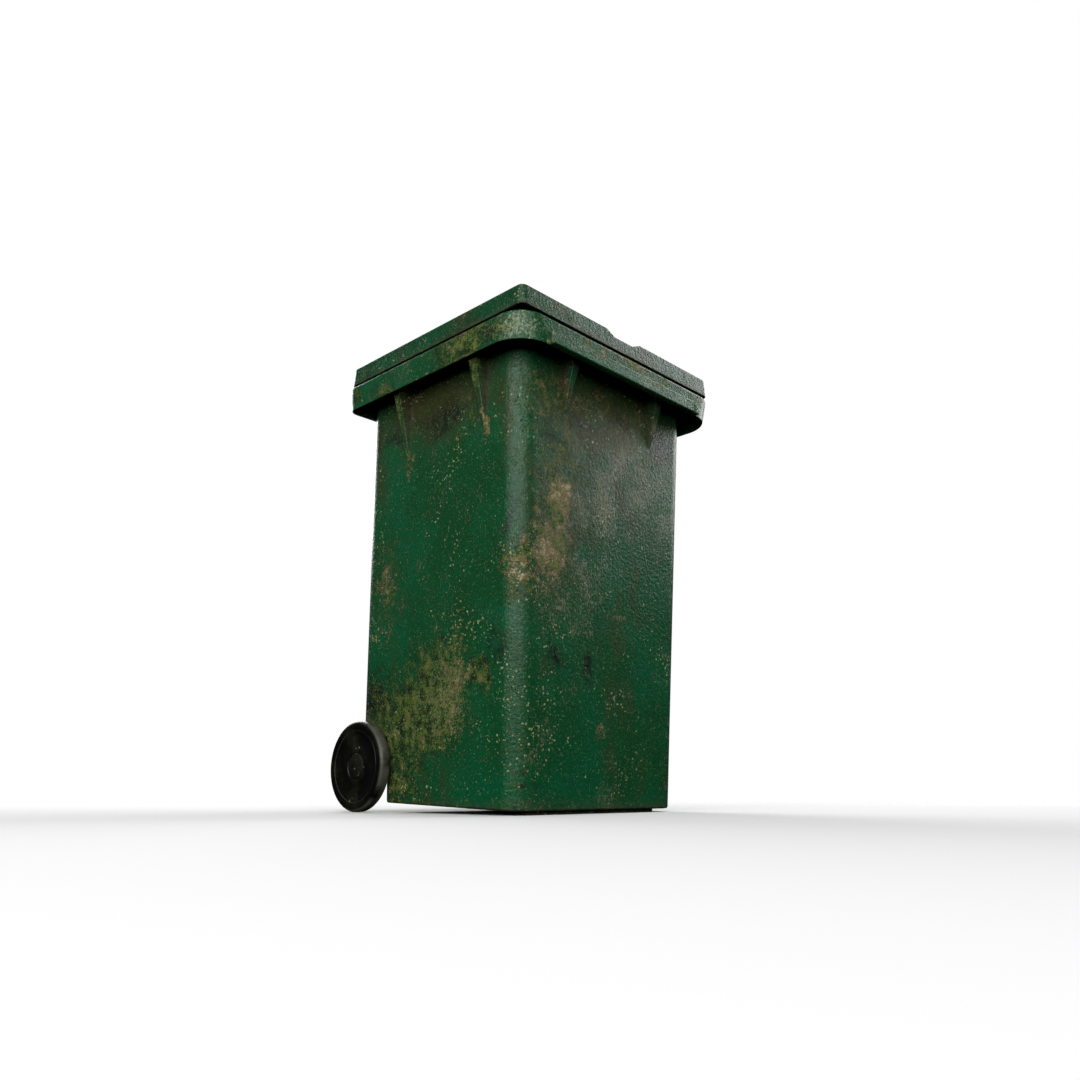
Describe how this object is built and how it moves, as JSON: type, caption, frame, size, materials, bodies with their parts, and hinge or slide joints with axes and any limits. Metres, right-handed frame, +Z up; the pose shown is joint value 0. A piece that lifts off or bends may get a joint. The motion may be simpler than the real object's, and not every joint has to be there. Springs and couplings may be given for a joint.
{
  "type": "wheeled litter bin",
  "caption": "Tall tapered wheeled litter bin with a hinged flat lid, a rolled rim with a front lifting ledge, a rear handle tube and plain disc wheels on a steel axle.",
  "frame": {"origin": "middle of the bounding box's bottom face, on the ground", "axes": "+Z up; -Y is the front with the lifting ledge; +Y is the rear with the wheels, handle and lid hinge; X is across the width"},
  "size_m": [0.7054, 0.734, 1.07],
  "materials": {
    "body_plastic": "moulded, weathered dark green with moss and dirt",
    "lid_plastic": "moulded, weathered dark green",
    "handle_plastic": "moulded dark green",
    "pin_plastic": "moulded black",
    "hub_plastic": "moulded black, worn and dirty",
    "bush_plastic": "natural off-white, greased",
    "tyre_rubber": "solid black rubber",
    "buffer_rubber": "soft black rubber",
    "axle_steel": "zinc plated, dulled",
    "clip_steel": "zinc plated spring steel"
  },
  "bodies": {
    "bin": {"bin_body": "body_plastic", "handle_bar": "handle_plastic", "axle": "axle_steel", "hinge_pin_left": "pin_plastic", "hinge_pin_right": "pin_plastic", "hinge_clip_left": "clip_steel", "hinge_clip_right": "clip_steel", "handle_plug_left": "handle_plastic", "handle_plug_right": "handle_plastic", "axle_bush_left": "bush_plastic", "axle_bush_right": "bush_plastic", "axle_spacer_left": "bush_plastic", "axle_spacer_right": "bush_plastic", "thrust_washer_left": "clip_steel", "thrust_washer_right": "clip_steel", "axle_clip_left": "clip_steel", "axle_clip_right": "clip_steel"},
    "lid": {"lid": "lid_plastic", "lid_buffers": "buffer_rubber"},
    "wheel_left": {"tyre_left": "tyre_rubber", "wheel_hub_left": "hub_plastic", "hub_bush_left": "bush_plastic", "hub_cap_left": "hub_plastic"},
    "wheel_right": {"tyre_right": "tyre_rubber", "wheel_hub_right": "hub_plastic", "hub_bush_right": "bush_plastic", "hub_cap_right": "hub_plastic"}
  },
  "joints": [
    {"name": "lid_hinge", "type": "hinge", "parent": "bin", "child": "lid", "pos_m": [0, 0.3335, 1.03], "axis": [-1, 0, 0], "range_deg": [0, 270]},
    {"name": "wheel_left_spin", "type": "hinge", "parent": "bin", "child": "wheel_left", "pos_m": [-0.284, 0.222, 0.1], "axis": [1, 0, 0], "continuous": true},
    {"name": "wheel_right_spin", "type": "hinge", "parent": "bin", "child": "wheel_right", "pos_m": [0.284, 0.222, 0.1], "axis": [1, 0, 0], "continuous": true}
  ]
}
